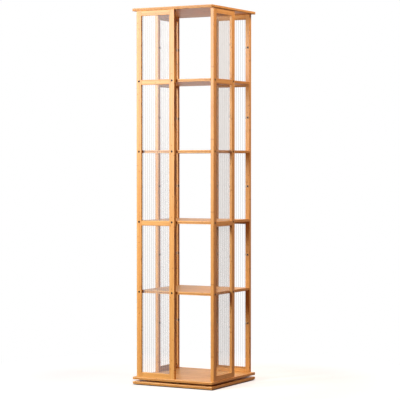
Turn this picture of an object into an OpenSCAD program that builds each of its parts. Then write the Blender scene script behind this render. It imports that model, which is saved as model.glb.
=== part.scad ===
// Revolving bookcase: a five-tier wooden tower on a ball-bearing turntable.
// Four tall framed panels with clear fluted sheets stand round the shelves like a pinwheel,
// each on the left half of its side as seen from outside, so every side has one open bay.
// Millimetres, +Z up, origin on the floor under the turning axis.

/* [Boards] */
// Width and depth of the top, bottom and base boards
board_side = 400; // [380:1:460]
// Thickness of the top, bottom and base boards
board_t = 12; // [10:0.5:20]
// Rounding of the long edges of those boards
board_edge_r = 3; // [1:0.5:4.5]
// Rounding of their corners in plan
board_corner_r = 5; // [2:0.5:12]
// How far those boards reach out past the faces of the frames
board_overhang = 4; // [1:0.5:20]
// Thickness of a shelf
shelf_t = 12; // [10:0.5:18]
// Rounding of the shelf edges
shelf_edge_r = 1.5; // [0.5:0.25:3]

/* [Tiers] */
// Clear height of the bottom tier
bottom_tier_h = 367; // [300:1:420]
// Clear height of each of the three middle tiers
middle_tier_h = 294; // [240:1:360]
// Clear height of the top tier
top_tier_h = 300; // [240:1:360]

/* [Frames] */
// Width of one framed panel along its side
panel_w = 190; // [150:1:220]
// Width of a stile seen from outside
stile_w = 25; // [22:0.5:34]
// Thickness of the frame, from its outer face to the shelf edge
frame_t = 16; // [14:0.5:17]
// Height of a rail seen from outside
rail_h = 22; // [19:0.5:34]
// Rounding of the long edges of stiles and rails
frame_edge_r = 1.5; // [0.5:0.25:2.5]
// Width of the rebate round each opening
rebate_w = 7; // [5:0.25:8]
// Thickness of the lip that the rebate leaves on the outer side
lip_t = 8; // [6:0.25:9]
// Length of the stub tenons on the rails
tenon_l = 8; // [5:0.25:9]
// Thickness of the stub tenons
tenon_t = 6; // [4:0.25:8]

/* [Fluted sheets] */
// Thickness of a sheet under its ribs
sheet_base_t = 2; // [1.5:0.1:3]
// Height of a rib above the sheet
rib_h = 0.5; // [0.3:0.1:1.5]
// Distance from rib to rib
rib_pitch = 10; // [6:0.5:14]
// Room between a sheet and the walls of its rebate
sheet_play = 1; // [0.5:0.1:2]

/* [Sheet clips] */
// Thickness of a clip
clip_t = 1.5; // [1:0.1:2]
// Height of a clip along its stile
clip_w = 10; // [8:0.5:16]
// Length of a clip behind its screw
clip_tail = 5; // [4:0.25:7]
// Distance from a clip up to the underside of the board above it
clip_drop = 147; // [60:1:180]
// Shank diameter of a clip screw
clip_screw_d = 3; // [2.5:0.1:4]
// Length of a clip screw under its head
clip_screw_l = 12; // [8:0.5:13]
// Head diameter of a clip screw
clip_head_d = 7; // [5:0.25:8]
// Head height of a clip screw
clip_head_h = 2; // [1.5:0.1:3]

/* [Frame screws] */
// Shank diameter of the screws that hold boards and frames together
screw_d = 5; // [4:0.25:6.5]
// Length of those screws, head included
screw_l = 50; // [40:1:60]
// Head diameter
screw_head_d = 9; // [8:0.25:11]
// Head height
screw_head_h = 3; // [2:0.25:4]
// Width across the flats of the hexagon socket
socket_af = 4; // [3:0.25:5]
// Depth of the socket
socket_depth = 2; // [1:0.25:2.5]
// How far a head lies below the wood face
head_sink = 0.3; // [0.1:0.1:1]

/* [Turntable] */
// Height of the gap between base board and bottom board
gap_h = 8; // [7:0.25:14]
// Radius of the circle that the ball centres lie on
ball_circle_r = 78; // [60:1:110]
// Ball diameter
ball_d = 5; // [4:0.1:5.5]
// Number of balls
ball_count = 30; // [12:1:36]
// Radial width of each ring
ring_w = 21; // [18:0.5:26]
// Radial gap between the two rings
ring_gap = 2; // [1.8:0.1:2.6]
// Vertical running gap between a ring and the board it does not sit on
ring_lift = 0.6; // [0.3:0.1:1]
// Radial thickness of the ball retainer
retainer_t = 1; // [0.8:0.1:1.2]
// Height of the ball retainer
retainer_h = 6.2; // [6:0.1:6.4]
// Shank diameter of the ring screws
ring_screw_d = 4; // [3:0.25:4.5]
// Length of the ring screws, head included
ring_screw_l = 16; // [12:0.5:17]
// Head diameter of the ring screws
ring_head_d = 8; // [6:0.25:9]
// Number of screws in each ring
ring_screw_count = 4; // [3:1:8]
// Diameter of the hole in the base board for driving the outer ring's screws
access_d = 16; // [10:1:20]

/* [Feet] */
// Diameter of a foot pad
foot_d = 30; // [20:1:44]
// Height of a foot pad
foot_h = 3; // [2:0.5:8]
// Distance from a pad's rim to the edges of the base board
foot_inset = 8; // [4:0.5:30]

/* [Hidden] */
$fn = 48;
// Clearance round a screw or a glued tenon
fit = 0.05;
// Running clearance of balls in their races and in the retainer
rolling = 0.15;
// Room past the tip of a screw
tip_room = 1;
// Shoulder left above and below a tenon
tenon_shoulder = 1;
// Overlap that lets a cut pass right through a face
cut = 1;
// Bevel round the rim of a socket screw's head
head_bevel = 0.4;

SIDES = ["front", "right", "back", "left"];
SHELVES = ["shelf_1", "shelf_2", "shelf_3", "shelf_4"];

WOOD = "#dba462";
SCREW_BLACK = "#1d1c1b";
ALUMINIUM = "#c3c6c9";
STEEL = "#9fa5aa";
NYLON = "#e4e0d3";
RUBBER = "#2b2a29";
CLEAR = [0.93, 0.95, 0.96, 0.4];

// The shelves end where the frames begin, so they are as wide as the boards less overhang and frames
shelf_side = board_side - 2 * (board_overhang + frame_t);

// Heights, from the floor up
base_z = foot_h;
gap_z = base_z + board_t;
bottom_z = gap_z + gap_h;
deck_z = bottom_z + board_t;
shelf_z = [for (i = [0:3]) deck_z + bottom_tier_h + i * (shelf_t + middle_tier_h)];
top_z = shelf_z[3] + shelf_t + top_tier_h;
stile_l = top_z - deck_z;

// A rail stands on the bottom board, hangs under the top board, or ends flush with a shelf's top
rail_z = [
  deck_z,
  shelf_z[1] + shelf_t - rail_h,
  shelf_z[3] + shelf_t - rail_h,
  top_z - rail_h
];
rail_l = panel_w - 2 * stile_w;
tenon_h = rail_h - 2 * (rebate_w + tenon_shoulder);

// The rebate pocket behind each of a panel's three openings
pocket_x = stile_w - rebate_w;
pocket_w = rail_l + 2 * rebate_w;
pocket_z = [for (k = [0:2]) rail_z[k] + rail_h - rebate_w];
pocket_h = [for (k = [0:2]) rail_z[k + 1] + rebate_w - pocket_z[k]];

// Fluted sheets: a rib is the segment of a circle on a chord of one pitch
sheet_w = pocket_w - 2 * sheet_play;
sheet_t = sheet_base_t + rib_h;
sheet_y = lip_t + fit;
rib_r = (pow(rib_pitch / 2, 2) + pow(rib_h, 2)) / (2 * rib_h);
rib_count = floor(sheet_w / rib_pitch);

// Clips hang at one distance below each shelf and below the top board
clip_z = [for (z = concat(shelf_z, [top_z])) z - clip_drop];
clip_x = pocket_x / 2;
toe_y = sheet_y + sheet_t + fit;

// Screws stand in the middle of the stiles and in the middle of the shelf edges
screw_x = [stile_w / 2, panel_w - stile_w / 2];

// Turntable rings
ring_h = gap_h - ring_lift;
race_r = ball_d / 2 + rolling;
ball_z = gap_z + gap_h / 2;
inner_hole_r = ball_circle_r - ring_gap / 2 - ring_w;
inner_screw_r = ball_circle_r - ring_gap / 2 - ring_w / 2;
outer_screw_r = ball_circle_r + ring_gap / 2 + ring_w / 2;
outer_turn = 45;
ring_head_h = (ring_head_d - ring_screw_d) / 2;
foot_at = board_side / 2 - foot_inset - foot_d / 2;

// A rectangle with round corners, its lower left corner at the origin
module rounded_rect(w, h, r) {
  translate([r, 0]) square([w - 2 * r, h]);
  translate([0, r]) square([w, h - 2 * r]);
  for (x = [r, w - r], y = [r, h - r]) translate([x, y]) circle(r);
}

// A square board, centred on the axis, with eased edges and corners
module eased_board(side, t, edge_r, corner_r) {
  intersection() {
    linear_extrude(t) translate([-side / 2, -side / 2]) rounded_rect(side, side, corner_r);
    moulded_both_ways(side) rounded_rect(side, t, edge_r);
  }
}

// The edge profile run through in both directions, as a moulding cutter does
module moulded_both_ways(side) {
  intersection() {
    translate([-side / 2, side / 2, 0]) rotate([90, 0, 0]) linear_extrude(side) children();
    translate([-side / 2, -side / 2, 0]) rotate([90, 0, 90]) linear_extrude(side) children();
  }
}

// The frame of one panel: x along the side from the corner, y inwards from the outer face
module on_side(i) {
  rotate([0, 0, 90 * i]) translate([-shelf_side / 2, -shelf_side / 2 - frame_t, 0]) children();
}

// A screw with a hexagon socket, its head at the origin and its shank along -Z
module socket_screw() {
  difference() {
    rotate_extrude() polygon([
      [0, 0], [screw_head_d / 2 - head_bevel, 0], [screw_head_d / 2, -head_bevel],
      [screw_head_d / 2, -screw_head_h], [screw_d / 2, -screw_head_h],
      [screw_d / 2, screw_d / 2 - screw_l], [screw_d / 4, -screw_l], [0, -screw_l]
    ]);
    translate([0, 0, -socket_depth]) cylinder(d = socket_af / cos(30), h = socket_depth + cut, $fn = 6);
  }
}

// The stepped hole that such a screw lies in
module socket_screw_hole() {
  translate([0, 0, -screw_l - tip_room]) cylinder(d = screw_d + 2 * fit, h = screw_l + tip_room);
  translate([0, 0, -screw_head_h - fit]) cylinder(d = screw_head_d + 2 * fit, h = screw_head_h + fit + cut);
}

// Places of the screws through one panel's stiles into the shelves, pointing inwards
module at_frame_screws(columns) {
  for (x = columns, z = shelf_z)
    translate([x, head_sink, z + shelf_t / 2]) rotate([90, 0, 0]) children();
}

// Places of the screws through the top board into the stile ends
module at_top_screws() {
  for (i = [0:3], x = screw_x) on_side(i) translate([x, frame_t / 2, top_z + board_t - head_sink]) children();
}

// Places of the screws through the bottom board up into the stile ends
module at_bottom_screws() {
  for (i = [0:3], x = screw_x) on_side(i)
    translate([x, frame_t / 2, bottom_z + head_sink]) rotate([180, 0, 0]) children();
}

// Places of the clips on one panel, mirrored for the middle stile
module at_clips() {
  for (z = clip_z) {
    translate([0, 0, z]) children();
    translate([panel_w, 0, z]) mirror([1, 0, 0]) children();
  }
}

// The screw hole of a clip, through the clip and into the inner face of the stile
module clip_screw_hole() {
  translate([clip_x, frame_t + clip_t + cut, 0]) rotate([90, 0, 0])
    cylinder(d = clip_screw_d + 2 * fit, h = clip_screw_l + tip_room + cut);
}

// The rebates behind a panel's three openings
module rebate_pockets() {
  for (k = [0:2])
    translate([pocket_x, lip_t, pocket_z[k]]) cube([pocket_w, frame_t - lip_t + cut, pocket_h[k]]);
}

// The stub tenon at one end of rail k, rooted in the rail, or with room round it as an open mortise
module tenon(k, room) {
  translate([stile_w - tenon_l - room, (frame_t - tenon_t) / 2 - room, rail_z[k] + (rail_h - tenon_h) / 2 - room])
    cube([tenon_l + room + cut, tenon_t + 2 * room, tenon_h + 2 * room]);
}

// A stile stands full height between the boards, with its outer edge at local x
module stile_bar(x) {
  translate([x, 0, deck_z]) linear_extrude(stile_l) rounded_rect(stile_w, frame_t, frame_edge_r);
}

module corner_stile(i) {
  color(WOOD) difference() {
    on_side(i) difference() {
      stile_bar(0);
      rebate_pockets();
      for (k = [0:3]) tenon(k, fit);
      at_frame_screws([screw_x[0]]) socket_screw_hole();
      at_clips() clip_screw_hole();
    }
    at_top_screws() socket_screw_hole();
    at_bottom_screws() socket_screw_hole();
  }
}

module middle_stile(i) {
  color(WOOD) difference() {
    on_side(i) difference() {
      stile_bar(panel_w - stile_w);
      rebate_pockets();
      for (k = [0:3]) translate([panel_w, 0, 0]) mirror([1, 0, 0]) tenon(k, fit);
      at_frame_screws([screw_x[1]]) socket_screw_hole();
      at_clips() clip_screw_hole();
    }
    at_top_screws() socket_screw_hole();
    at_bottom_screws() socket_screw_hole();
  }
}

// Rail k of a panel, with a stub tenon at each end
module rail(i, k) {
  color(WOOD) on_side(i) {
    difference() {
      translate([stile_w, 0, rail_z[k]]) rotate([90, 0, 90])
        linear_extrude(rail_l) rounded_rect(frame_t, rail_h, frame_edge_r);
      rebate_pockets();
    }
    tenon(k, 0);
    translate([panel_w, 0, 0]) mirror([1, 0, 0]) tenon(k, 0);
  }
}

// Plan of a fluted sheet: a flat back and a row of shallow round ribs on the outer side
module fluted_plan() {
  first_rib = (sheet_w - (rib_count - 1) * rib_pitch) / 2;
  translate([0, rib_h]) square([sheet_w, sheet_base_t]);
  for (n = [0:rib_count - 1])
    translate([first_rib + n * rib_pitch, 0]) intersection() {
      translate([0, rib_r]) circle(rib_r, $fn = 96);
      translate([-rib_pitch / 2, 0]) square([rib_pitch, sheet_t]);
    }
}

// Sheet k stands on the ledge of its rebate
module fluted_sheet(i, k) {
  color(CLEAR) on_side(i)
    translate([pocket_x + sheet_play, sheet_y, pocket_z[k]])
      linear_extrude(pocket_h[k] - 2 * sheet_play) fluted_plan();
}

// Clip: a foot on the stile, a leg down into the rebate and a toe on the sheet
module sheet_clip() {
  heel_x = clip_x - clip_tail;
  leg_x = pocket_x + fit;
  toe_x = stile_w - sheet_play;
  difference() {
    translate([0, 0, -clip_w / 2]) linear_extrude(clip_w) polygon([
      [heel_x, frame_t], [leg_x, frame_t], [leg_x, toe_y], [toe_x, toe_y], [toe_x, toe_y + clip_t],
      [leg_x + clip_t, toe_y + clip_t], [leg_x + clip_t, frame_t + clip_t], [heel_x, frame_t + clip_t]
    ]);
    clip_screw_hole();
  }
}

module sheet_clips() {
  color(CLEAR) for (i = [0:3]) on_side(i) at_clips() sheet_clip();
}

// Pan-head screw of a clip, with a domed head and a cross slot
module clip_screw() {
  slot_w = clip_head_d / 8;
  dome_r = (pow(clip_head_d / 2, 2) + pow(clip_head_h, 2)) / (2 * clip_head_h);
  translate([clip_x, frame_t + clip_t, 0]) rotate([-90, 0, 0]) difference() {
    union() {
      intersection() {
        translate([0, 0, clip_head_h - dome_r]) sphere(dome_r);
        cylinder(d = clip_head_d, h = clip_head_h);
      }
      translate([0, 0, -clip_screw_l]) cylinder(d = clip_screw_d, h = clip_screw_l);
    }
    for (turn = [0, 90]) rotate([0, 0, turn])
      translate([-clip_head_d / 4, -slot_w / 2, clip_head_h / 2]) cube([clip_head_d / 2, slot_w, clip_head_h]);
  }
}

module clip_screws() {
  color(SCREW_BLACK) for (i = [0:3]) on_side(i) at_clips() clip_screw();
}

module frame_screws() {
  color(SCREW_BLACK) for (i = [0:3]) on_side(i) at_frame_screws(screw_x) socket_screw();
}

module top_screws() {
  color(SCREW_BLACK) at_top_screws() socket_screw();
}

module bottom_screws() {
  color(SCREW_BLACK) at_bottom_screws() socket_screw();
}

// A shelf with its eight screw holes in the edges
module shelf(n) {
  color(WOOD) difference() {
    translate([0, 0, shelf_z[n]]) eased_board(shelf_side, shelf_t, shelf_edge_r, shelf_edge_r);
    for (i = [0:3]) on_side(i) at_frame_screws(screw_x) socket_screw_hole();
  }
}

module top_board() {
  color(WOOD) difference() {
    translate([0, 0, top_z]) eased_board(board_side, board_t, board_edge_r, board_corner_r);
    at_top_screws() socket_screw_hole();
  }
}

// The bottom board is drilled for the stile screws and for the outer ring's screws
module bottom_board() {
  color(WOOD) difference() {
    translate([0, 0, bottom_z]) eased_board(board_side, board_t, board_edge_r, board_corner_r);
    at_bottom_screws() socket_screw_hole();
    at_outer_ring_screws() ring_screw_hole();
  }
}

// The base board is drilled for the inner ring's screws and has one access hole
module base_board() {
  color(WOOD) difference() {
    translate([0, 0, base_z]) eased_board(board_side, board_t, board_edge_r, board_corner_r);
    at_inner_ring_screws() ring_screw_hole();
    rotate([0, 0, outer_turn]) translate([outer_screw_r, 0, base_z - cut])
      cylinder(d = access_d, h = board_t + 2 * cut);
  }
}

module foot_pads() {
  color(RUBBER) for (x = [-foot_at, foot_at], y = [-foot_at, foot_at])
    translate([x, y, 0]) rotate_extrude() polygon([
      [0, 0], [foot_d / 2 - foot_h / 3, 0], [foot_d / 2, foot_h / 3], [foot_d / 2, foot_h], [0, foot_h]
    ]);
}

// Countersunk screw of a ring, its flat head at the origin and its shank along -Z
module ring_screw() {
  difference() {
    rotate_extrude() polygon([
      [0, 0], [ring_head_d / 2, 0], [ring_screw_d / 2, -ring_head_h],
      [ring_screw_d / 2, ring_screw_d / 2 - ring_screw_l], [0, -ring_screw_l]
    ]);
    for (turn = [0, 90]) rotate([0, 0, turn])
      translate([-ring_head_d / 4, -ring_head_d / 16, -ring_head_h / 2])
        cube([ring_head_d / 2, ring_head_d / 8, ring_head_h]);
  }
}

module ring_screw_hole() {
  rotate_extrude() polygon([
    [0, cut], [ring_head_d / 2 + fit, cut], [ring_head_d / 2 + fit, 0], [ring_screw_d / 2 + fit, -ring_head_h],
    [ring_screw_d / 2 + fit, -ring_screw_l - tip_room], [0, -ring_screw_l - tip_room]
  ]);
}

// The inner ring is screwed down from above
module at_inner_ring_screws() {
  for (n = [1:ring_screw_count]) rotate([0, 0, n * 360 / ring_screw_count])
    translate([inner_screw_r, 0, gap_z + ring_h - fit]) children();
}

// The outer ring is screwed up from below
module at_outer_ring_screws() {
  for (n = [1:ring_screw_count]) rotate([0, 0, outer_turn + n * 360 / ring_screw_count])
    translate([outer_screw_r, 0, bottom_z - ring_h + fit]) rotate([180, 0, 0]) children();
}

// Cross-section of a ring, from radius r outwards, with its half of the ball race
module ring_section(r, z) {
  difference() {
    translate([r, z]) square([ring_w, ring_h]);
    translate([ball_circle_r, ball_z]) circle(race_r);
  }
}

module bearing_inner_ring() {
  color(ALUMINIUM) difference() {
    rotate_extrude($fn = 180) ring_section(inner_hole_r, gap_z);
    at_inner_ring_screws() ring_screw_hole();
  }
}

module bearing_outer_ring() {
  color(ALUMINIUM) difference() {
    rotate_extrude($fn = 180) ring_section(ball_circle_r + ring_gap / 2, bottom_z - ring_h);
    at_outer_ring_screws() ring_screw_hole();
  }
}

module inner_ring_screws() {
  color(STEEL) at_inner_ring_screws() ring_screw();
}

module outer_ring_screws() {
  color(STEEL) at_outer_ring_screws() ring_screw();
}

module at_balls() {
  for (n = [1:ball_count]) rotate([0, 0, n * 360 / ball_count]) translate([ball_circle_r, 0, ball_z]) children();
}

module bearing_balls() {
  color(STEEL) at_balls() sphere(d = ball_d);
}

// A thin band between the rings, with one round window for each ball
module ball_retainer() {
  color(NYLON) difference() {
    rotate_extrude($fn = 180)
      translate([ball_circle_r - retainer_t / 2, ball_z - retainer_h / 2]) square([retainer_t, retainer_h]);
    at_balls() rotate([0, 90, 0]) cylinder(r = race_r, h = 2 * ball_d, center = true);
  }
}

base_board();
foot_pads();
bearing_inner_ring();
inner_ring_screws();
ball_retainer();
bearing_balls();
bearing_outer_ring();
outer_ring_screws();
bottom_board();
top_board();
for (n = [0:3]) shelf(n);
for (i = [0:3]) {
  corner_stile(i);
  middle_stile(i);
  rail(i, 0);
  rail(i, 1);
  rail(i, 2);
  rail(i, 3);
  fluted_sheet(i, 0);
  fluted_sheet(i, 1);
  fluted_sheet(i, 2);
}
frame_screws();
top_screws();
bottom_screws();
sheet_clips();
clip_screws();
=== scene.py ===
"""Revolving bookcase of laminated bamboo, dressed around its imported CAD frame.

Five open tiers turn on a ball-bearing base, and four framed panels of clear fluted sheet stand round
the shelves like a pinwheel. Metres, +Z up, origin on the floor under the turning axis.
"""
import math

import bmesh
import bpy
from mathutils import Matrix, Vector


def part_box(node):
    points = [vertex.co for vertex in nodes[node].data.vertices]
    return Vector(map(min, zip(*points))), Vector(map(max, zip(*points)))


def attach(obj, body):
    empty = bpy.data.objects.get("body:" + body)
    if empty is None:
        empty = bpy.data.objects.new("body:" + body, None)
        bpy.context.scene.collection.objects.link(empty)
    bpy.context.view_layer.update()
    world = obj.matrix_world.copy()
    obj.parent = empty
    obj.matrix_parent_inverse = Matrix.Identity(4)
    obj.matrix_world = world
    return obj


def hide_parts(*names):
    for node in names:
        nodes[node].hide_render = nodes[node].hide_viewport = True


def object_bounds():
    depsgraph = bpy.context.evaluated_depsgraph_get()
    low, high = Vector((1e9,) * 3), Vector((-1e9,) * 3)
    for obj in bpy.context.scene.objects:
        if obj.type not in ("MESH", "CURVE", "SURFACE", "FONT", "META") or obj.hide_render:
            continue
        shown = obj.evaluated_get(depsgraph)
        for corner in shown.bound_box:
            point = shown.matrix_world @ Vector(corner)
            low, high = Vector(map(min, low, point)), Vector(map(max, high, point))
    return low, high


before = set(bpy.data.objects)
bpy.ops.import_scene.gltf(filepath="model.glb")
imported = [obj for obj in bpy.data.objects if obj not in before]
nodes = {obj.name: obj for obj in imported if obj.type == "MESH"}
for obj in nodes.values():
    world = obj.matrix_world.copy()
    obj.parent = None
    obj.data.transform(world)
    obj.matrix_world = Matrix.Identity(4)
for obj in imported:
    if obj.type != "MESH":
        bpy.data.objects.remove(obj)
cad_low, cad_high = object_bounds()
bpy.context.scene.view_settings.view_transform = "Standard"


# Base board: the square board that stays still on the floor and carries the turntable.
# Three plies of flat bamboo strips are pressed together, the middle ply lying crossways.
# The edges are rounded over, sanded a little paler than the faces, and lacquered satin.
MM = 0.001


def add_node(tree, kind, feeds=None, **settings):
    """One node; feeds maps its inputs to plain values or to other nodes' outputs."""
    made = tree.nodes.new(kind)
    for setting, value in settings.items():
        setattr(made, setting, value)
    for key, value in (feeds or {}).items():
        if isinstance(value, bpy.types.NodeSocket):
            tree.links.new(value, made.inputs[key])
        else:
            made.inputs[key].default_value = value
    return made


def calc(tree, operation, *values):
    """The output of one Math node."""
    return add_node(tree, "ShaderNodeMath", dict(enumerate(values)), operation=operation).outputs[0]


def add_shares(tree, start, *parts):
    """A start value with a share of each part added to it."""
    total = start
    for part, share in parts:
        total = calc(tree, "MULTIPLY_ADD", part, share, total)
    return total


def split_xyz(tree, vector):
    """The x, y and z of a vector."""
    return add_node(tree, "ShaderNodeSeparateXYZ", {0: vector}).outputs


def join_xyz(tree, **parts):
    """A vector from its X, Y and Z, with 0 for a part that isn't given."""
    return add_node(tree, "ShaderNodeCombineXYZ", parts).outputs[0]


def fade(tree, value, start, end, low=0.0, high=1.0):
    """A soft step from low at start to high at end."""
    feeds = {"Value": value, "From Min": start, "From Max": end, "To Min": low, "To Max": high}
    return add_node(tree, "ShaderNodeMapRange", feeds, interpolation_type="SMOOTHSTEP").outputs["Result"]


def between(tree, share, first, second):
    """A value from the first to the second, by share."""
    feeds = {"Factor": share, "A": first, "B": second}
    return add_node(tree, "ShaderNodeMix", feeds, data_type="FLOAT").outputs[0]


def blend_colour(tree, share, first, second, mode="MIX"):
    """Two colours mixed, or the first changed by the second in the given mode."""
    made = add_node(tree, "ShaderNodeMix", data_type="RGBA", blend_type=mode)
    for socket, value in zip((made.inputs[0], made.inputs[6], made.inputs[7]), (share, first, second)):
        if isinstance(value, bpy.types.NodeSocket):
            tree.links.new(value, socket)
        else:
            socket.default_value = value
    return made.outputs[2]


def streaks(tree, x, y, z, across, along, detail=2.0):
    """Noise drawn out along z: its size across the grain and along it, in metres."""
    place = join_xyz(tree, X=x, Y=y, Z=calc(tree, "MULTIPLY", z, across / along))
    feeds = {"Vector": place, "Scale": 1 / across, "Detail": detail, "Roughness": 0.6}
    return add_node(tree, "ShaderNodeTexNoise", feeds).outputs[0]


def laminated_bamboo():
    """Pressed strips with grain along Z: x runs across the strips and y through their thickness."""
    tree = bpy.data.node_groups.new("laminated_bamboo", "ShaderNodeTree")
    for label, kind in (("Place", "Vector"), ("Facing", "Vector"), ("Strip Width", "Float"),
                        ("Strip Thickness", "Float"), ("Crossed Core", "Float")):
        tree.interface.new_socket(label, in_out="INPUT", socket_type=f"NodeSocket{kind}")
    for label, kind in (("Colour", "Color"), ("Roughness", "Float"), ("Height", "Float")):
        tree.interface.new_socket(label, in_out="OUTPUT", socket_type=f"NodeSocket{kind}")
    given = tree.nodes.new("NodeGroupInput").outputs
    width, thickness = given["Strip Width"], given["Strip Thickness"]

    # In the middle ply, counted from the top face, the strips lie crossways
    place_x, y, place_z = split_xyz(tree, given["Place"])
    out_x, out_y, out_z = [calc(tree, "ABSOLUTE", part) for part in split_xyz(tree, given["Facing"])]
    layer_share = calc(tree, "DIVIDE", y, thickness)
    layer = calc(tree, "FLOOR", layer_share)
    middle_ply, ply_tolerance = 1.0, 0.1
    in_middle = calc(tree, "COMPARE", layer, middle_ply, ply_tolerance)
    crossed = calc(tree, "MULTIPLY", in_middle, given["Crossed Core"])
    x = between(tree, crossed, place_x, place_z)
    z = between(tree, crossed, place_z, place_x)
    end_facing = between(tree, crossed, out_z, out_x)

    # Each strip is its own piece of cane, with its own tone and its own place along the stem
    seed, stem_length, changes_per_metre = 0.37, 9.0, 5.0
    strip_share = calc(tree, "DIVIDE", x, width)
    strip = calc(tree, "FLOOR", strip_share)
    cell = join_xyz(tree, X=strip, Y=layer, Z=seed)
    chance = add_node(tree, "ShaderNodeTexWhiteNoise", {"Vector": cell}, noise_dimensions="3D").outputs
    stem = split_xyz(tree, chance["Color"])
    moved_z = calc(tree, "MULTIPLY_ADD", stem[0], stem_length, z)

    fibre = streaks(tree, x, y, moved_z, across=0.45 * MM, along=40 * MM, detail=3.0)
    figure = streaks(tree, x, y, moved_z, across=3.2 * MM, along=190 * MM)
    changes = calc(tree, "MULTIPLY", moved_z, changes_per_metre)
    length = streaks(tree, strip, layer, changes, across=1.0, along=1.0)
    bundles = fade(tree, streaks(tree, x, y, moved_z, across=0.8 * MM, along=26 * MM), 0.57, 0.70)

    # The joints of the cane cross a strip as a thin dark line in a faintly darker band
    joint_spacing, joint_wave, joints_ahead = 0.31, 3 * MM, 7.0
    wavy = calc(tree, "MULTIPLY_ADD", figure, joint_wave, moved_z)
    first_joint = calc(tree, "MULTIPLY", stem[1], joints_ahead)
    joint = calc(tree, "FRACT", calc(tree, "MULTIPLY_ADD", wavy, 1 / joint_spacing, first_joint))
    off_joint = calc(tree, "ABSOLUTE", calc(tree, "SUBTRACT", joint, 0.5))
    to_joint = calc(tree, "MULTIPLY", off_joint, joint_spacing)
    band = fade(tree, to_joint, 6 * MM, 1.2 * MM)
    line = fade(tree, to_joint, 1.1 * MM, 0.4 * MM)

    # Glue lines between strips and plies
    def to_seam(share, size):
        """How far it is to the nearest seam of strips or plies of this size."""
        inside = calc(tree, "FRACT", share)
        nearest = calc(tree, "MINIMUM", inside, calc(tree, "SUBTRACT", 1.0, inside))
        return calc(tree, "MULTIPLY", nearest, size)

    seam = calc(tree, "MINIMUM", to_seam(strip_share, width), to_seam(layer_share, thickness))
    glue = fade(tree, seam, 0.22 * MM, 0.05 * MM)

    # Tone of the cane from deep to pale
    tones = ((chance["Value"], 0.34), (fibre, 0.55), (figure, 0.85), (length, 0.60))
    centred = 0.5 - sum(share for _, share in tones) / 2
    deep, honey, pale = (0.560, 0.232, 0.050, 1), (0.735, 0.376, 0.104, 1), (0.825, 0.490, 0.168, 1)
    ramp = add_node(tree, "ShaderNodeValToRGB", {0: add_shares(tree, centred, *tones)})
    stops = ramp.color_ramp.elements
    stops[0].position, stops[0].color = 0.10, deep
    stops[1].position, stops[1].color = 0.92, pale
    stops.new(0.50).color = honey
    colour = ramp.outputs[0]
    for mask, tint in ((bundles, (0.80, 0.72, 0.62, 1)), (band, (0.90, 0.84, 0.76, 1)),
                       (line, (0.70, 0.58, 0.46, 1)), (glue, (0.66, 0.55, 0.44, 1))):
        colour = blend_colour(tree, mask, colour, tint, "MULTIPLY")

    # Cut ends are darker and show the fibre bundles as dots
    bundle_spacing = 0.8 * MM
    end = fade(tree, end_facing, 0.60, 0.85)
    cut_face = join_xyz(tree, X=x, Y=y)
    dots = add_node(tree, "ShaderNodeTexVoronoi", {"Vector": cut_face, "Scale": 1 / bundle_spacing})
    dot = fade(tree, dots.outputs["Distance"], 0.42, 0.25)
    end_tint = blend_colour(tree, dot, (0.78, 0.66, 0.54, 1), (0.48, 0.34, 0.22, 1))
    colour = blend_colour(tree, end, colour, end_tint, "MULTIPLY")

    # Sanded roundings, where the surface turns from one face to the next, are paler
    flatness = calc(tree, "MAXIMUM", calc(tree, "MAXIMUM", out_x, out_y), out_z)
    rounding = fade(tree, flatness, 0.985, 0.86)
    sanded_tint = (1.10, 1.14, 1.22, 1)
    colour = blend_colour(tree, rounding, colour, sanded_tint, "MULTIPLY")

    rough = add_shares(tree, 0.30, (fibre, 0.16), (end, 0.18))
    height = add_shares(tree, 0.0, (line, 0.30), (fibre, 0.40), (bundles, -0.25), (glue, -0.60))
    result = tree.nodes.new("NodeGroupOutput").inputs
    for label, value in (("Colour", colour), ("Roughness", rough), ("Height", height)):
        tree.links.new(value, result[label])
    return tree


bamboo = laminated_bamboo()


def new_finish(name):
    """An empty node material with its Principled shader and its texture coordinates."""
    finish = bpy.data.materials.new(name)
    finish.use_nodes = True
    shader = finish.node_tree.nodes["Principled BSDF"]
    return finish, finish.node_tree, shader, add_node(finish.node_tree, "ShaderNodeTexCoord").outputs


def press_in(tree, shader, height, strength, depth):
    """A bump from a height that the nodes give."""
    feeds = {"Height": height, "Strength": strength, "Distance": depth}
    tree.links.new(add_node(tree, "ShaderNodeBump", feeds).outputs[0], shader.inputs["Normal"])


def bamboo_finish(name, turn, shift, strip, thickness, crossed):
    """Lacquered bamboo; turn brings the piece's grain to Z and shift sets where its strips begin."""
    finish, tree, shader, coordinates = new_finish(name)
    turn = [math.radians(angle) for angle in turn]
    place = add_node(tree, "ShaderNodeMapping",
                     {"Vector": coordinates["Object"], "Rotation": turn, "Location": shift})
    facing = add_node(tree, "ShaderNodeMapping",
                      {"Vector": coordinates["Normal"], "Rotation": turn}, vector_type="VECTOR")
    grain = add_node(tree, "ShaderNodeGroup", {
        "Place": place.outputs[0], "Facing": facing.outputs[0], "Strip Width": strip,
        "Strip Thickness": thickness, "Crossed Core": crossed}, node_tree=bamboo).outputs
    tree.links.new(grain["Colour"], shader.inputs["Base Color"])
    tree.links.new(grain["Roughness"], shader.inputs["Roughness"])
    press_in(tree, shader, grain["Height"], strength=0.30, depth=0.25 * MM)
    shader.inputs["Specular IOR Level"].default_value = 0.14
    shader.inputs["Coat Weight"].default_value = 0.03
    shader.inputs["Coat Roughness"].default_value = 0.25
    return finish


def dress(node, finish):
    """A CAD node keeps its shape and takes this finish."""
    nodes[node].material_slots[0].material = finish


FLAT_STRIP = 19.4 * MM
PLY = 4.4 * MM
FACE_PLY_SANDED = 0.6 * MM
GRAIN_ALONG_BOARD = (90, 90, 0)


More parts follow.
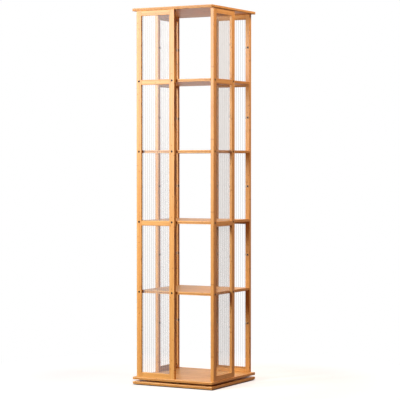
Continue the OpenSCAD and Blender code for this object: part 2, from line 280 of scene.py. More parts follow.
def dress_board(node, strips_from):
    """A three-ply board: its plies are counted from its own top face."""
    top_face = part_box(node)[1].z
    shift = (strips_from, top_face + FACE_PLY_SANDED, 0)
    dress(node, bamboo_finish(f"bamboo_{node}", GRAIN_ALONG_BOARD, shift, FLAT_STRIP, PLY, crossed=1.0))


dress_board("base_board", strips_from=3.1 * MM)


# Foot pads: four low discs of black rubber under the corners of the base board.
# They are moulded, with a matt skin that picks up a little dust.
def even_noise(tree, coordinates, scale, detail):
    """Noise that is the same in every direction, so many waves to the metre."""
    feeds = {"Vector": coordinates["Object"], "Scale": scale, "Detail": detail}
    return add_node(tree, "ShaderNodeTexNoise", feeds).outputs[0]


def rubber_finish():
    """Matt black rubber, greyer where it is dusty."""
    finish, tree, shader, coordinates = new_finish("foot_rubber")
    skin = even_noise(tree, coordinates, scale=900.0, detail=4.0)
    dusty = fade(tree, even_noise(tree, coordinates, scale=60.0, detail=3.0), 0.48, 0.72)
    colour = blend_colour(tree, dusty, (0.017, 0.016, 0.015, 1), (0.052, 0.048, 0.043, 1))
    tree.links.new(colour, shader.inputs["Base Color"])
    tree.links.new(fade(tree, skin, 0.3, 0.7, 0.62, 0.86), shader.inputs["Roughness"])
    press_in(tree, shader, skin, strength=0.35, depth=0.2 * MM)
    return finish


dress("foot_pads", rubber_finish())


# Turntable rings: two flat aluminium rings turned on a lathe, the inner one screwed down on the
# base board and the outer one screwed up under the bottom board, with steel balls between them.
# Turning leaves fine rings in the metal, and the cross-slot screws are bright zinc-plated steel.
def vector_calc(tree, operation, *values):
    """The outputs of one Vector Math node: a Vector and a Value."""
    return add_node(tree, "ShaderNodeVectorMath", dict(enumerate(values)), operation=operation).outputs


def metal_finish(name, pale, deep, rough, turned=False):
    """Bare metal with cloudy tone and, where it was turned, fine rings round the axis."""
    finish, tree, shader, coordinates = new_finish(name)
    cloudy = even_noise(tree, coordinates, scale=140.0, detail=4.0)
    marks = cloudy
    if turned:
        rings_per_metre = 3000.0
        flat = vector_calc(tree, "MULTIPLY", coordinates["Object"], (1, 1, 0))["Vector"]
        radius = vector_calc(tree, "LENGTH", flat)["Value"]
        feeds = {"W": radius, "Scale": rings_per_metre, "Detail": 2.0}
        marks = add_node(tree, "ShaderNodeTexNoise", feeds, noise_dimensions="1D").outputs[0]
        press_in(tree, shader, marks, strength=0.25, depth=0.1 * MM)
    colour = blend_colour(tree, fade(tree, cloudy, 0.35, 0.7), pale, deep)
    tree.links.new(colour, shader.inputs["Base Color"])
    tree.links.new(fade(tree, marks, 0.3, 0.7, rough - 0.07, rough + 0.09), shader.inputs["Roughness"])
    shader.inputs["Metallic"].default_value = 1.0
    return finish


turned_aluminium = metal_finish("turned_aluminium", pale=(0.76, 0.77, 0.78, 1), deep=(0.62, 0.63, 0.65, 1),
                                rough=0.34, turned=True)
zinc_plate = metal_finish("zinc_plate", pale=(0.66, 0.68, 0.69, 1), deep=(0.50, 0.52, 0.55, 1), rough=0.30)
bright_steel = metal_finish("bright_steel", pale=(0.70, 0.70, 0.69, 1), deep=(0.58, 0.57, 0.55, 1),
                            rough=0.16)
for ring in ("bearing_inner_ring", "bearing_outer_ring"):
    dress(ring, turned_aluminium)
for screws in ("inner_ring_screws", "outer_ring_screws"):
    dress(screws, zinc_plate)
dress("bearing_balls", bright_steel)


# Ball retainer: a thin moulded nylon band between the two rings, with a round window for each ball.
# It keeps the balls apart and rolls round with them at about half the speed of the bookcase.
def nylon_finish():
    """Natural nylon, milky and faintly cloudy."""
    finish, tree, shader, coordinates = new_finish("natural_nylon")
    milky = even_noise(tree, coordinates, scale=220.0, detail=3.0)
    colour = blend_colour(tree, milky, (0.70, 0.66, 0.56, 1), (0.82, 0.79, 0.71, 1))
    tree.links.new(colour, shader.inputs["Base Color"])
    tree.links.new(fade(tree, milky, 0.3, 0.7, 0.38, 0.54), shader.inputs["Roughness"])
    press_in(tree, shader, milky, strength=0.15, depth=0.1 * MM)
    return finish


dress("ball_retainer", nylon_finish())


# Bottom board: the lowest board that turns, the same three-ply board as the base.
# It rests on the outer ring, and the screws from below it hold the feet of the eight stiles.
dress_board("bottom_board", strips_from=11.7 * MM)


# Frames: each panel has two stiles that run the full height and four rails between them, joined by
# stub tenons. They are ripped from side-pressed bamboo, so their faces show narrow strips on edge.
SIDES = ("front", "right", "back", "left")
STILE_STRIP = 6.1 * MM
RAIL_STRIP = 6.25 * MM
RAIL_STRIPS_FROM = 3.75 * MM

# A ply thicker than the bookcase is wide, begun half a ply off its axis, leaves no glue line in depth
UNDIVIDED = 0.9
stile_shift = (0, UNDIVIDED / 2, 0)
rail_shift = (RAIL_STRIPS_FROM, UNDIVIDED / 2, 0)
STILE_FINISHES = [
    bamboo_finish("bamboo_stiles_front_back", (0, 0, 0), stile_shift, STILE_STRIP, UNDIVIDED, crossed=0.0),
    bamboo_finish("bamboo_stiles_left_right", (0, 0, -90), stile_shift, STILE_STRIP, UNDIVIDED, crossed=0.0),
]
RAIL_FINISHES = [
    bamboo_finish("bamboo_rails_front_back", (0, 90, 0), rail_shift, RAIL_STRIP, UNDIVIDED, crossed=0.0),
    bamboo_finish("bamboo_rails_left_right", (90, 0, 90), rail_shift, RAIL_STRIP, UNDIVIDED, crossed=0.0),
]
for number, side in enumerate(SIDES):
    for stile in ("corner_stile", "middle_stile"):
        dress(f"{side}_{stile}", STILE_FINISHES[number % 2])
    for rail in ("bottom_rail", "lower_rail", "upper_rail", "top_rail"):
        dress(f"{side}_{rail}", RAIL_FINISHES[number % 2])


# Fluted sheets: clear extruded acrylic with shallow round ribs on the outer side and a flat back.
# Each stands loose in the rebate of its opening; grey lines of painted shade lie in the valleys between the
# ribs.
QUARTER_TURN = math.pi / 2


def named_inputs(tree, inputs):
    """Modifier inputs of a geometry tree, by label: the identifier of each."""
    kinds = {float: "NodeSocketFloat", int: "NodeSocketInt", tuple: "NodeSocketVector"}
    made = {}
    for label, start in inputs.items():
        kind = kinds.get(type(start), f"NodeSocket{start}")
        socket = tree.interface.new_socket(label, in_out="INPUT", socket_type=kind)
        if type(start) in kinds:
            socket.default_value = start
        made[label] = socket.identifier
    tree.interface.new_socket("Geometry", in_out="OUTPUT", socket_type="NodeSocketGeometry")
    return made


def deliver(tree, geometry, material):
    """The end of a geometry tree: no instances are left, and all of it has one material."""
    real = add_node(tree, "GeometryNodeRealizeInstances", {0: geometry})
    painted = add_node(tree, "GeometryNodeSetMaterial", {"Geometry": real.outputs[0], "Material": material})
    tree.links.new(painted.outputs[0], tree.nodes.new("NodeGroupOutput").inputs[0])


def shape_by_nodes(name, tree, identifiers, values):
    """A plain mesh object made by a geometry tree with these inputs."""
    piece = bpy.data.objects.new(name, bpy.data.meshes.new(name))
    bpy.context.scene.collection.objects.link(piece)
    maker = piece.modifiers.new("maker", "NODES")
    maker.node_group = tree
    for label, value in values.items():
        maker[identifiers[label]] = value
    depsgraph = bpy.context.evaluated_depsgraph_get()
    shaped = bpy.data.meshes.new_from_object(
        piece.evaluated_get(depsgraph), preserve_all_data_layers=True, depsgraph=depsgraph)
    piece.modifiers.clear()
    piece.data = shaped
    shaped.name = name
    return piece


def fluted_sheet_tree():
    """A ribbed sheet standing on the front panel, then turned to its side of the bookcase."""
    tree = bpy.data.node_groups.new("fluted_sheet", "GeometryNodeTree")
    identifiers = named_inputs(tree, {
        "Width": 0.152, "Height": 0.3, "Back Thickness": 2 * MM, "Rib Pitch": 10 * MM,
        "Rib Height": 0.5 * MM, "Ribs": 15, "Columns": 304, "Middle": (0.0, 0.0, 0.0), "Turn": 0.0,
        "Material": "Material"})
    given = tree.nodes.new("NodeGroupInput").outputs
    pitch, rib_height = given["Rib Pitch"], given["Rib Height"]

    def marked(geometry, marks, **where):
        """The geometry with these values stored on its points, or only where a selection says."""
        for label, value in marks.items():
            feeds = {"Geometry": geometry, "Name": label, "Value": value, **where}
            geometry = add_node(tree, "GeometryNodeStoreNamedAttribute", feeds).outputs[0]
        return geometry

    face = add_node(tree, "GeometryNodeMeshGrid", {
        "Size X": given["Width"], "Size Y": given["Height"],
        "Vertices X": calc(tree, "ADD", given["Columns"], 1.0), "Vertices Y": 2})
    upright = add_node(tree, "GeometryNodeTransform",
                       {"Geometry": face.outputs[0], "Rotation": (QUARTER_TURN, 0, 0)})
    x, y, z = split_xyz(tree, add_node(tree, "GeometryNodeInputPosition").outputs[0])

    # A rib is the segment of a circle that stands on a chord of one pitch
    half = calc(tree, "MULTIPLY", pitch, 0.5)
    squares = calc(tree, "MULTIPLY_ADD", half, half, calc(tree, "MULTIPLY", rib_height, rib_height))
    radius = calc(tree, "DIVIDE", squares, calc(tree, "MULTIPLY", rib_height, 2.0))
    along = calc(tree, "MULTIPLY_ADD", given["Ribs"], 0.5, calc(tree, "DIVIDE", x, pitch))
    from_crest = calc(tree, "MULTIPLY", calc(tree, "SUBTRACT", calc(tree, "FRACT", along), 0.5), pitch)
    rise = calc(tree, "SQRT", calc(tree, "SUBTRACT", calc(tree, "MULTIPLY", radius, radius),
                                   calc(tree, "MULTIPLY", from_crest, from_crest)))
    arc = calc(tree, "SUBTRACT", radius, rise)

    # Past the outermost ribs the sheet is flat, as deep as a valley
    just_under_half = 0.4999
    last_valley = calc(tree, "MULTIPLY", calc(tree, "MULTIPLY", given["Ribs"], pitch), just_under_half)
    on_ribs = calc(tree, "LESS_THAN", calc(tree, "ABSOLUTE", x), last_valley)
    depth = between(tree, on_ribs, rib_height, arc)
    fluted = add_node(tree, "GeometryNodeSetPosition",
                      {"Geometry": upright.outputs[0], "Offset": join_xyz(tree, Y=depth)})
    front = marked(fluted.outputs[0], {"flute": calc(tree, "DIVIDE", y, rib_height), "ribbed": 1.0})

    # The flat back and the cut edges close the sheet behind its ribs
    walls = add_node(tree, "GeometryNodeExtrudeMesh",
                     {"Mesh": front, "Offset": (0, 1, 0), "Offset Scale": MM, "Individual": False})
    back_y = calc(tree, "ADD", rib_height, given["Back Thickness"])
    flattened = add_node(tree, "GeometryNodeSetPosition", {
        "Geometry": walls.outputs["Mesh"], "Selection": walls.outputs["Top"],
        "Position": join_xyz(tree, X=x, Y=back_y, Z=z)})
    plain = marked(flattened.outputs[0], {"flute": 0.0, "ribbed": 0.0}, Selection=walls.outputs["Top"])
    turned_out = add_node(tree, "GeometryNodeFlipFaces", {0: plain})
    joined = add_node(tree, "GeometryNodeJoinGeometry")
    for part in (front, turned_out.outputs[0]):
        tree.links.new(part, joined.inputs[0])
    same_place, crisp_angle = 0.01 * MM, 0.2
    closed = add_node(tree, "GeometryNodeMergeByDistance",
                      {"Geometry": joined.outputs[0], "Distance": same_place})
    smooth = add_node(tree, "GeometryNodeSetShadeSmooth", {"Geometry": closed.outputs[0]})
    bend = add_node(tree, "GeometryNodeInputMeshEdgeAngle").outputs["Unsigned Angle"]
    crisp = add_node(tree, "GeometryNodeSetShadeSmooth", {
        "Geometry": smooth.outputs[0], "Selection": calc(tree, "GREATER_THAN", bend, crisp_angle),
        "Shade Smooth": False}, domain="EDGE")

    moved = add_node(tree, "GeometryNodeTransform",
                     {"Geometry": crisp.outputs[0], "Translation": given["Middle"]})
    turned = add_node(tree, "GeometryNodeTransform",
                      {"Geometry": moved.outputs[0], "Rotation": join_xyz(tree, Z=given["Turn"])})
    deliver(tree, turned.outputs[0], given["Material"])
    return tree, identifiers


def stored_value(tree, label):
    """A value stored on the mesh under this label."""
    return add_node(tree, "ShaderNodeAttribute", attribute_name=label).outputs["Fac"]


def let_through(tree, shader, share, tint):
    """A clear piece: its own shader shows by this share, and what is behind it by the rest."""
    straight = add_node(tree, "ShaderNodeBsdfTransparent", {"Color": tint})
    feeds = {0: share, 1: straight.outputs[0], 2: shader.outputs[0]}
    either = add_node(tree, "ShaderNodeMixShader", feeds)
    tree.links.new(either.outputs[0], tree.nodes["Material Output"].inputs["Surface"])


def clear_sheet_finish():
    """Clear acrylic with a pale haze on its ribs, painted shade greying the valleys, and drawn lines along
    them.
    """
    finish, tree, shader, coordinates = new_finish("clear_fluted_acrylic")
    # Painted shade: the valleys are greyer, both in the haze and in what shows through the sheet
    painted_valley_shade = fade(tree, stored_value(tree, "flute"), 0.15, 1.0)
    haze = blend_colour(tree, painted_valley_shade, (0.70, 0.70, 0.695, 1), (0.42, 0.42, 0.42, 1))
    tree.links.new(haze, shader.inputs["Base Color"])
    drawn = streaks(tree, *split_xyz(tree, coordinates["Object"]), across=2.5 * MM, along=400 * MM)
    tree.links.new(fade(tree, drawn, 0.3, 0.7, 0.20, 0.30), shader.inputs["Roughness"])
    press_in(tree, shader, drawn, strength=0.08, depth=0.2 * MM)
    shader.inputs["Specular IOR Level"].default_value = 0.20
    shader.inputs["IOR"].default_value = 1.49

    # The haze shows on the ribbed side from outside, and hardly at all from within
    haze_within, haze_outside = 0.02, 0.26
    within = add_node(tree, "ShaderNodeNewGeometry").outputs["Backfacing"]
    outside = calc(tree, "MULTIPLY", stored_value(tree, "ribbed"), calc(tree, "SUBTRACT", 1.0, within))
    body = fade(tree, outside, 0.0, 1.0, haze_within, haze_outside)
    clear = blend_colour(tree, painted_valley_shade, (1.0, 1.0, 1.0, 1), (0.79, 0.79, 0.79, 1))
    let_through(tree, shader, body, clear)
    return finish


sheet_tree, sheet_inputs = fluted_sheet_tree()
clear_sheet = clear_sheet_finish()
SHEET_BACK_THICKNESS = 2 * MM
RIB_PITCH = 10 * MM
MESH_COLUMN = 0.5 * MM
for level in ("bottom", "middle", "top"):
    low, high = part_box(f"front_{level}_sheet")
    width = high.x - low.x
    sizes = {
        "Width": width, "Height": high.z - low.z, "Back Thickness": SHEET_BACK_THICKNESS,
        "Rib Pitch": RIB_PITCH, "Rib Height": high.y - low.y - SHEET_BACK_THICKNESS,
        "Ribs": math.floor(width / RIB_PITCH), "Columns": round(width / MESH_COLUMN),
        "Middle": ((low.x + high.x) / 2, low.y, (low.z + high.z) / 2), "Material": clear_sheet}
    for number, side in enumerate(SIDES):
        sheet = shape_by_nodes(f"{side}_{level}_fluted_sheet", sheet_tree, sheet_inputs,
                               {**sizes, "Turn": number * QUARTER_TURN})
        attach(sheet, "carousel")
        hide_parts(f"{side}_{level}_sheet")


# Shelves: four square three-ply boards, eased on every edge, one above each of the lower tiers.
# They are held only by the screws through the stiles into their edges.
SHELVES = 4
SHELF_STRIPS_FROM = 2.9 * MM
SHELF_STRIPS_APART = 4.3 * MM
for number in range(1, SHELVES + 1):
    dress_board(f"shelf_{number}", SHELF_STRIPS_FROM + number * SHELF_STRIPS_APART)


# Frame screws: black socket screws through the stiles into the shelf edges, and through the top
# and bottom boards into the stile ends. The heads lie just under the wood face, and the black
# oxide is worn to grey along the rims.
def pinwheel_tree():
    """A piece repeated in rows and columns on the front panel, then on each side in turn."""
    tree = bpy.data.node_groups.new("pinwheel_pattern", "GeometryNodeTree")
    identifiers = named_inputs(tree, {
        "Piece": "Object", "First Place": (0.0, 0.0, 0.0), "Columns": 2, "Column Step": 0.165,
        "Column Turn": 0.0, "Rows": 4, "Row Step": 0.306, "Last Row Extra": 0.0, "Sides": 4,
        "Material": "Material"})
    given = tree.nodes.new("NodeGroupInput").outputs
    rows, columns = given["Rows"], given["Columns"]
    on_side = calc(tree, "MULTIPLY", rows, columns)
    line = add_node(tree, "GeometryNodeMeshLine",
                    {"Count": calc(tree, "MULTIPLY", on_side, given["Sides"]), "Offset": (0, 0, 0)})
    index = add_node(tree, "GeometryNodeInputIndex").outputs[0]
    row = calc(tree, "MODULO", index, rows)
    column = calc(tree, "MODULO", calc(tree, "FLOOR", calc(tree, "DIVIDE", index, rows)), columns)
    side = calc(tree, "FLOOR", calc(tree, "DIVIDE", index, on_side))
    heading = calc(tree, "MULTIPLY", side, QUARTER_TURN)

    row_tolerance = 0.1
    last = calc(tree, "COMPARE", row, calc(tree, "SUBTRACT", rows, 1.0), row_tolerance)
    extra = calc(tree, "MULTIPLY", last, given["Last Row Extra"])
    up = calc(tree, "MULTIPLY_ADD", row, given["Row Step"], extra)
    along = calc(tree, "MULTIPLY", column, given["Column Step"])
    place = vector_calc(tree, "ADD", given["First Place"], join_xyz(tree, X=along, Z=up))["Vector"]
    turned = add_node(tree, "ShaderNodeVectorRotate", {"Vector": place, "Angle": heading},
                      rotation_type="Z_AXIS")
    points = add_node(tree, "GeometryNodeSetPosition",
                      {"Geometry": line.outputs[0], "Position": turned.outputs[0]})
    piece = add_node(tree, "GeometryNodeObjectInfo", {"Object": given["Piece"], "As Instance": True})
    over = calc(tree, "MULTIPLY", column, given["Column Turn"])
    copies = add_node(tree, "GeometryNodeInstanceOnPoints", {
        "Points": points.outputs[0], "Instance": piece.outputs["Geometry"],
        "Rotation": join_xyz(tree, Y=over, Z=heading)})
    deliver(tree, copies.outputs[0], given["Material"])
    return tree, identifiers


def ring_reach(shape, radius, angle):
    """How far a ring of this shape reaches at an angle: round, six flats or a cross slot."""
    if shape == "hexagon":
        sector = math.pi / 3
        return radius / math.cos((angle + sector / 2) % sector - sector / 2)
    if shape == "cross":
        waist = 0.30
        return radius * (waist + (1 - waist) * math.cos(2 * angle) ** 4)
    return radius


CREASE_ANGLE = 0.6


def smooth_object(name, made, turn=0):
    """A finished bmesh as an object, smooth but for its creases, turned about X by some degrees."""
    for face in made.faces:
        face.smooth = True
    for edge in made.edges:
        edge.smooth = len(edge.link_faces) == 2 and edge.calc_face_angle() < CREASE_ANGLE
    mesh = bpy.data.meshes.new(name)
    made.to_mesh(mesh)
    made.free()
    mesh.transform(Matrix.Rotation(math.radians(turn), 4, "X"))
    return bpy.data.objects.new(name, mesh)


CORNERS_AROUND = 24


def turned_piece(name, rings, turn):
    """A mesh lofted through rings of (shape, radius, height, wear), closed at both ends, then turned."""
    made = bmesh.new()
    wear = made.verts.layers.float.new("rim")
    loops = []
    for shape, radius, height, rubbed in rings:
        loop = []
        for step in range(1 if radius == 0 else CORNERS_AROUND):
            angle = 2 * math.pi * step / CORNERS_AROUND
            reach = ring_reach(shape, radius, angle)
            corner = made.verts.new((reach * math.cos(angle), reach * math.sin(angle), height))
            corner[wear] = rubbed
            loop.append(corner)
        loops.append(loop)
    for lower, upper in zip(loops, loops[1:]):
        for step in range(CORNERS_AROUND):
            after = (step + 1) % CORNERS_AROUND
            if len(lower) == 1:
                made.faces.new((lower[0], upper[after], upper[step]))
            elif len(upper) == 1:
                made.faces.new((lower[step], lower[after], upper[0]))
            else:
                made.faces.new((lower[step], lower[after], upper[after], upper[step]))
    bmesh.ops.recalc_face_normals(made, faces=made.faces)
    return smooth_object(name, made, turn)


def black_oxide_finish():
    """Blackened steel, cloudy and slightly oiled, grey where the rims are rubbed."""
    finish, tree, shader, coordinates = new_finish("black_oxide")
    cloudy = even_noise(tree, coordinates, scale=700.0, detail=4.0)
    worn = calc(tree, "MULTIPLY", stored_value(tree, "rim"), fade(tree, cloudy, 0.40, 0.62))
    black = blend_colour(tree, cloudy, (0.004, 0.004, 0.004, 1), (0.014, 0.013, 0.012, 1))
    colour = blend_colour(tree, worn, black, (0.050, 0.048, 0.045, 1))
    tree.links.new(colour, shader.inputs["Base Color"])
    tree.links.new(fade(tree, cloudy, 0.3, 0.7, 0.42, 0.58), shader.inputs["Roughness"])
    press_in(tree, shader, cloudy, strength=0.12, depth=0.05 * MM)
    shader.inputs["Specular IOR Level"].default_value = 0.05
    return finish


SCREW_LENGTH = 50 * MM
SHANK_RADIUS = 2.5 * MM
HEAD_RADIUS = 4.5 * MM
HEAD_HEIGHT = 3 * MM
HEAD_SINK = 0.3 * MM
SOCKET_RADIUS = 2 * MM
SOCKET_DEPTH = 2 * MM
SOCKET_BEVEL = 0.2 * MM

# Rings up the rounded rim of the head: radius and height in millimetres, and wear
HEAD_RIM = ((4.5, -0.55, 0), (4.42, -0.25, 0.6), (4.22, -0.07, 1), (3.95, 0, 0.4))


def rings_of(shape, outline):
    """Rings of one shape for turned_piece, from an outline in millimetres."""
    return [(shape, radius * MM, height * MM, rubbed) for radius, height, rubbed in outline]


socket_screw = [
    ("round", 0, -SCREW_LENGTH, 0), ("round", SHANK_RADIUS / 2, -SCREW_LENGTH, 0),
    ("round", SHANK_RADIUS, SHANK_RADIUS - SCREW_LENGTH, 0), ("round", SHANK_RADIUS, -HEAD_HEIGHT, 0),
    ("round", HEAD_RADIUS, -HEAD_HEIGHT, 0), *rings_of("round", HEAD_RIM),
    ("round", 1.5 * SOCKET_RADIUS, 0, 0), ("hexagon", SOCKET_RADIUS + SOCKET_BEVEL, 0, 1),
    ("hexagon", SOCKET_RADIUS, -SOCKET_BEVEL, 0.8), ("hexagon", SOCKET_RADIUS, -SOCKET_DEPTH, 0),
    ("round", 0, -SOCKET_DEPTH - 2 * SOCKET_BEVEL, 0)]

pinwheel, pinwheel_inputs = pinwheel_tree()
black_oxide = black_oxide_finish()
stile_low, stile_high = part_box("front_corner_stile")
shelf_low, shelf_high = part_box("shelf_1")
STILE_WIDTH = stile_high.x - stile_low.x
COLUMN_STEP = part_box("front_middle_stile")[0].x - stile_low.x
SHELF_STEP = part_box("shelf_2")[0].z - shelf_low.z
middle_x = stile_low.x + STILE_WIDTH / 2
middle_y = (stile_low.y + stile_high.y) / 2
SCREW_GROUPS = {
    "frame_screws": (90, SHELVES, (middle_x, stile_low.y + HEAD_SINK, (shelf_low.z + shelf_high.z) / 2)),
    "top_screws": (0, 1, (middle_x, middle_y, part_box("top_board")[1].z - HEAD_SINK)),
    "bottom_screws": (180, 1, (middle_x, middle_y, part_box("bottom_board")[0].z + HEAD_SINK)),
}
for node, (turn, rows, first) in SCREW_GROUPS.items():
    pattern = turned_piece("socket_screw", socket_screw, turn)
    screws = shape_by_nodes(f"black_{node}", pinwheel, pinwheel_inputs, {
        "Piece": pattern, "First Place": first, "Columns": 2, "Column Step": COLUMN_STEP,
        "Column Turn": 0.0, "Rows": rows, "Row Step": SHELF_STEP, "Last Row Extra": 0.0,
        "Sides": len(SIDES), "Material": black_oxide})
    bpy.data.objects.remove(pattern)
    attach(screws, "carousel")
    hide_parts(node)


# Sheet clips: clear bent tabs that press the fluted sheets into their rebates, one on each stile in
# every tier. Each is held on the inner face of its stile by one small black cross-slot screw.
TIERS = SHELVES + 1
CLIP_DROP = 147 * MM
CLIP_THICKNESS = 1.5 * MM
CLIP_HEIGHT = 10 * MM
CLIP_TAIL = 5 * MM
CLIP_BEVEL = 0.45 * MM
CLIP_SEAT = 0.05 * MM

# Places across the stile, from its outer edge: the screw, the leg in the rebate and the toe's end
CLIP_SCREW_X = 9 * MM
CLIP_LEG_X = 18 * MM + CLIP_SEAT
CLIP_TOE_X = 24 * MM


def bent_tab(name):
    """The clip in plan, from its heel over the screw, down into the rebate and out on the sheet."""
    bend, toe = CLIP_LEG_X - CLIP_SCREW_X, CLIP_TOE_X - CLIP_SCREW_X
    sheet_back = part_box("front_top_sheet")[1].y - stile_high.y + CLIP_SEAT
    thick = CLIP_THICKNESS
    outline = [(-CLIP_TAIL, 0), (bend, 0), (bend, sheet_back), (toe, sheet_back), (toe, sheet_back + thick),
               (bend + thick, sheet_back + thick), (bend + thick, thick), (-CLIP_TAIL, thick)]
    made = bmesh.new()
    face = made.faces.new([made.verts.new((x, y, -CLIP_HEIGHT / 2)) for x, y in outline])
    lifted = bmesh.ops.extrude_face_region(made, geom=[face])["geom"]
    corners = [part for part in lifted if isinstance(part, bmesh.types.BMVert)]
    bmesh.ops.translate(made, vec=(0, 0, CLIP_HEIGHT), verts=corners)
    bmesh.ops.recalc_face_normals(made, faces=made.faces)
    upright = [edge for edge in made.edges if abs(edge.verts[0].co.z - edge.verts[1].co.z) > MM]
    bmesh.ops.bevel(made, geom=upright, offset=CLIP_BEVEL, segments=3, profile=0.5, affect="EDGES")
    return smooth_object(name, made)


def clear_clip_finish():
    """Clear polycarbonate with a faint flow haze."""
    finish, tree, shader, coordinates = new_finish("clear_clip")
    haze = even_noise(tree, coordinates, scale=350.0, detail=3.0)
    colour = blend_colour(tree, haze, (0.90, 0.92, 0.93, 1), (0.97, 0.98, 0.98, 1))
    tree.links.new(colour, shader.inputs["Base Color"])
    tree.links.new(fade(tree, haze, 0.3, 0.7, 0.30, 0.45), shader.inputs["Roughness"])
    shader.inputs["IOR"].default_value = 1.58
    let_through(tree, shader, share=0.14, tint=(0.95, 0.96, 0.96, 1))
    return finish


CLIP_SCREW_LENGTH = 12 * MM
CLIP_SHANK_RADIUS = 1.5 * MM
SLOT_FLOOR = 0.7 * MM

# Rings up the pan head and down into its cross slot: radius and height in millimetres, and wear
PAN_HEAD = ((3.4, 0, 0), (3.5, 0.15, 0.5), (3.2, 0.75, 0), (2.65, 1.30, 0.2), (2.15, 1.62, 0.6))
CROSS_SLOT = ((1.75, 1.80, 1), (1.60, 1.70, 1), (1.05, 0.85, 0))
clip_screw = [
    ("round", 0, -CLIP_SCREW_LENGTH, 0), ("round", CLIP_SHANK_RADIUS, -CLIP_SCREW_LENGTH, 0),
    ("round", CLIP_SHANK_RADIUS, 0, 0), *rings_of("round", PAN_HEAD), *rings_of("cross", CROSS_SLOT),
    ("round", 0, SLOT_FLOOR, 0)]
first_clip = Vector((stile_low.x + CLIP_SCREW_X, stile_high.y, shelf_low.z - CLIP_DROP))
top_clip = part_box("top_board")[0].z - CLIP_DROP
CLIP_PATTERN = {
    "Columns": 2, "Column Step": COLUMN_STEP + STILE_WIDTH - 2 * CLIP_SCREW_X, "Column Turn": math.pi,
    "Rows": TIERS, "Row Step": SHELF_STEP, "Sides": len(SIDES),
    "Last Row Extra": top_clip - first_clip.z - (TIERS - 1) * SHELF_STEP}
CLIP_GROUPS = {
    "sheet_clips": (bent_tab("clip_tab"), 0.0, clear_clip_finish(), "clip"),
    "clip_screws": (turned_piece("clip_screw", clip_screw, -90), CLIP_THICKNESS, black_oxide, "screw"),
}
for node, (pattern, proud, finish, slot) in CLIP_GROUPS.items():
    place = first_clip + Vector((0, proud, 0))
    fasteners = shape_by_nodes(f"stile_{node}", pinwheel, pinwheel_inputs, {
        "Piece": pattern, "First Place": tuple(place), "Material": finish, **CLIP_PATTERN})
    bpy.data.objects.remove(pattern)
    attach(fasteners, "carousel")
    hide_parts(node)


# Top board: the same three-ply board as the base, flat and plain, closing the tower.
# It lies on the stile ends, and its eight screws are the only fittings that show from above.
dress_board("top_board", strips_from=7.3 * MM)


# Studio: a pale floor that runs out to white, soft lamps on the left in front, one high on the
# right and one behind, and a large reflector on the left that shows only as gloss on the lacquer.
# The background is white where it is seen or mirrored, and dim and warm as light in the shade.
AMBIENT = (0.170, 0.052, 0.022, 1)
WHITE = (1, 1, 1, 1)


def path_share(tree):
    """One for the rays that look at the background: straight, through a clear piece or as gloss."""
    rays = add_node(tree, "ShaderNodeLightPath").outputs
    straight = calc(tree, "MAXIMUM", rays["Is Camera Ray"], rays["Is Transmission Ray"])
    return calc(tree, "MAXIMUM", straight, rays["Is Glossy Ray"])


world = bpy.data.worlds.new("studio")
world.use_nodes = True
bpy.context.scene.world = world
sky = world.node_tree
backdrop = blend_colour(sky, path_share(sky), AMBIENT, WHITE)
sky.links.new(backdrop, sky.nodes["Background"].inputs["Color"])

FLOOR_REACH = 12.0
SHADOW_REACH = 0.40
WHITE_FROM = 1.2
NEAR_GLOW = 0.68
EDGE_SOFTNESS = 4 * MM


def pale_floor_finish():
    """A floor that takes the soft shadow near the bookcase and is plain white farther out."""
    finish = bpy.data.materials.new("pale_floor")
    finish.use_nodes = True
    tree = finish.node_tree
    tree.nodes.clear()
    place = add_node(tree, "ShaderNodeTexCoord").outputs["Object"]
    away = fade(tree, vector_calc(tree, "LENGTH", place)["Value"], SHADOW_REACH, WHITE_FROM)

    # Painted shade: the floor's white glow is cut out under the base board, so a dark line of shade lies
    # along its edges
    from_axis = [calc(tree, "ABSOLUTE", part) for part in split_xyz(tree, place)[:2]]
    edge_start, edge_end = cad_high.x - EDGE_SOFTNESS, cad_high.x + EDGE_SOFTNESS
    outside_painted_shade = fade(tree, calc(tree, "MAXIMUM", *from_axis), edge_start, edge_end)
    glow = calc(tree, "MULTIPLY", outside_painted_shade, fade(tree, away, 0.0, 1.0, NEAR_GLOW, 1.0))
    white = add_node(tree, "ShaderNodeEmission", {"Strength": glow})
    shaded_colour = blend_colour(tree, away, (0.45, 0.45, 0.45, 1), (0, 0, 0, 1))
    shaded = add_node(tree, "ShaderNodeBsdfDiffuse", {"Color": shaded_colour})
    seen = add_node(tree, "ShaderNodeAddShader", {0: white.outputs[0], 1: shaded.outputs[0]})

    # As light on the bookcase the floor is dim, like the rest of the background
    dim = add_node(tree, "ShaderNodeBsdfDiffuse", {"Color": (0.10, 0.05, 0.03, 1)})
    feeds = {0: path_share(tree), 1: dim.outputs[0], 2: seen.outputs[0]}
    either = add_node(tree, "ShaderNodeMixShader", feeds)
    tree.links.new(either.outputs[0], add_node(tree, "ShaderNodeOutputMaterial").inputs[0])
    return finish


floor_mesh = bpy.data.meshes.new("floor")
floor_corners = [(x * FLOOR_REACH, y * FLOOR_REACH, 0) for x, y in ((-1, -1), (1, -1), (1, 1), (-1, 1))]
floor_mesh.from_pydata(floor_corners, [], [(0, 1, 2, 3)])
floor_mesh.materials.append(pale_floor_finish())
floor = bpy.data.objects.new("floor", floor_mesh)
bpy.context.scene.collection.objects.link(floor)

DAYLIGHT = (1.0, 0.985, 0.96)
WARM = (1.0, 0.78, 0.55)


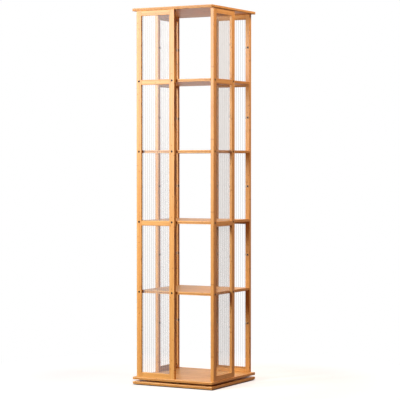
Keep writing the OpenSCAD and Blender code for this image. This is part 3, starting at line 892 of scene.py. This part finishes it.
def softbox(name, place, aim, width, height, power, tint=DAYLIGHT, reflector=False):
    """A rectangular lamp at a place, facing its aim; a reflector shows only as gloss."""
    lamp = bpy.data.lights.new(name, "AREA")
    lamp.shape = "RECTANGLE"
    lamp.size, lamp.size_y = width, height
    lamp.energy = power
    lamp.color = tint
    stand = bpy.data.objects.new(name, lamp)
    stand.location = place
    stand.rotation_euler = (Vector(aim) - Vector(place)).to_track_quat("-Z", "Y").to_euler()
    stand.visible_camera = False
    stand.visible_transmission = False
    stand.visible_glossy = reflector
    stand.visible_diffuse = not reflector
    bpy.context.scene.collection.objects.link(stand)


softbox("gloss", (-1.75, -3.05, 2.15), aim=(0, 0, 1.20), width=1.8, height=2.1, power=440, reflector=True)
softbox("key", (-1.75, -3.05, 1.55), aim=(0, 0, 1.00), width=0.9, height=0.9, power=88)
softbox("front", (-1.15, -2.45, 1.15), aim=(0, 0, 0.80), width=0.6, height=0.6, power=40)
softbox("right", (1.7, 0.3, 3.1), aim=(0, 0, 1.20), width=0.9, height=0.9, power=60, tint=WARM)
softbox("back", (-0.8, 3.4, 2.6), aim=(0, 0, 1.00), width=1.6, height=1.6, power=60)


# Camera: at the photograph's viewing angle, to the right of the front so that the front and right
# sides show, a little above the middle of the bookcase and tilted slightly down.
CAMERA_AZIMUTH = math.radians(29.297)
CAMERA_DISTANCE = 7.1732
CAMERA_ASIDE = 0.02406
CAMERA_HEIGHT = 0.9632
CAMERA_TILT = math.radians(-1.246)
PIXELS_ACROSS = 400
FOCAL_PIXELS = 1623.6
eye = bpy.data.cameras.new("camera")
eye.sensor_width = 36.0
eye.lens = FOCAL_PIXELS / PIXELS_ACROSS * eye.sensor_width
camera = bpy.data.objects.new("camera", eye)
outward = Vector((math.sin(CAMERA_AZIMUTH), -math.cos(CAMERA_AZIMUTH), 0))
sideways = Vector((math.cos(CAMERA_AZIMUTH), math.sin(CAMERA_AZIMUTH), 0))
camera.location = CAMERA_DISTANCE * outward + CAMERA_ASIDE * sideways + Vector((0, 0, CAMERA_HEIGHT))
camera.rotation_euler = (math.pi / 2 + CAMERA_TILT, 0, CAMERA_AZIMUTH)
bpy.context.scene.collection.objects.link(camera)
bpy.context.scene.camera = camera
